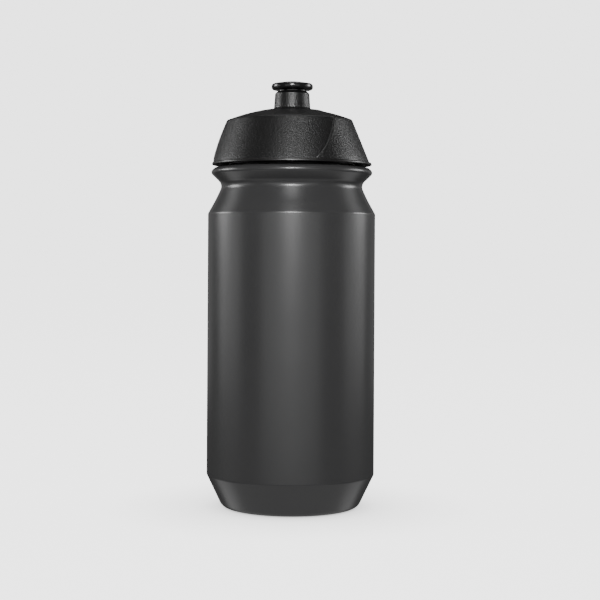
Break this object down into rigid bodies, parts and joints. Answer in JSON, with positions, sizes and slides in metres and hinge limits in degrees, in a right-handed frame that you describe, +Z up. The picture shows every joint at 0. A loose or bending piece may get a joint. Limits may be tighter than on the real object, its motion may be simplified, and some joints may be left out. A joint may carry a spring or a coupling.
{
  "type": "sports squeeze bottle",
  "caption": "Squeeze bottle with a straight barrel, bevelled base, cage groove and collar, a domed screw lid with swirled finger grips, and a push-pull drinking valve.",
  "frame": {"origin": "centre of the base, on the surface the bottle stands on", "axes": "+Z up along the bottle's axis towards the mouthpiece, -Y towards the front, +X to the right"},
  "size_m": [0.074, 0.074, 0.1876],
  "materials": {
    "bottle_plastic": "satin, blow-moulded, smoky dark grey",
    "lid_plastic": "fine spark-eroded grain, black",
    "valve_plastic": "polished, black",
    "tip_plastic": "glossy soft elastomer, black",
    "seal_rubber": "matte silicone, grey"
  },
  "bodies": {
    "bottle": {"bottle_body": "bottle_plastic"},
    "gasket": {"lid_gasket": "seal_rubber"},
    "lid": {"screw_lid": "lid_plastic", "sealing_stem": "valve_plastic"},
    "valve": {"valve_slider": "valve_plastic", "slider_seal": "seal_rubber", "bite_tip": "tip_plastic"}
  },
  "joints": [
    {"name": "lid_rise", "type": "slide", "parent": "bottle", "child": "gasket", "axis": [0, 0, 1], "range_m": [0, 0.006]},
    {"name": "lid_turn", "type": "hinge", "parent": "gasket", "child": "lid", "pos_m": [0, 0, 0.159], "axis": [0, 0, 1], "range_deg": [0, 540]},
    {"name": "valve_pull", "type": "slide", "parent": "lid", "child": "valve", "axis": [0, 0, 1], "range_m": [0, 0.006]}
  ],
  "couplings": [
    {"joint": "lid_rise", "follows": "lid_turn", "m_per_rad": 0.0006366}
  ]
}
